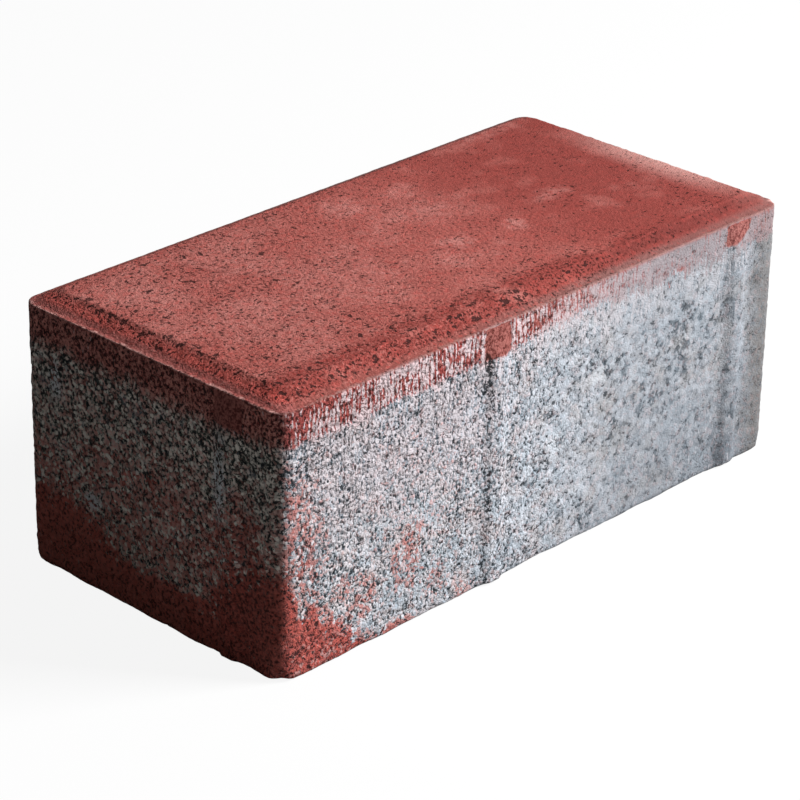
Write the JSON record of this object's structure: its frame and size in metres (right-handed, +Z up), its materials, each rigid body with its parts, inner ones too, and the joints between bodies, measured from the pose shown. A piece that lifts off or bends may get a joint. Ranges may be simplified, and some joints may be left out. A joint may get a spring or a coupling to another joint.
{
  "type": "concrete paving stone",
  "caption": "Rectangular concrete block paver with a bevelled red wearing face, grey body, rounded corners and low spacer nibs on its sides.",
  "frame": {"origin": "centre of the footprint, on the bed face", "axes": "+X along the length, +Y along the width, +Z up, out of the wearing face"},
  "size_m": [0.2, 0.1, 0.08],
  "materials": {
    "concrete": "rough, open-textured pressed concrete: brick-red facing layer on top, pale grey body with red smears and pale drag marks"
  },
  "bodies": {
    "root": {"paving_stone": "concrete"}
  },
  "joints": []
}
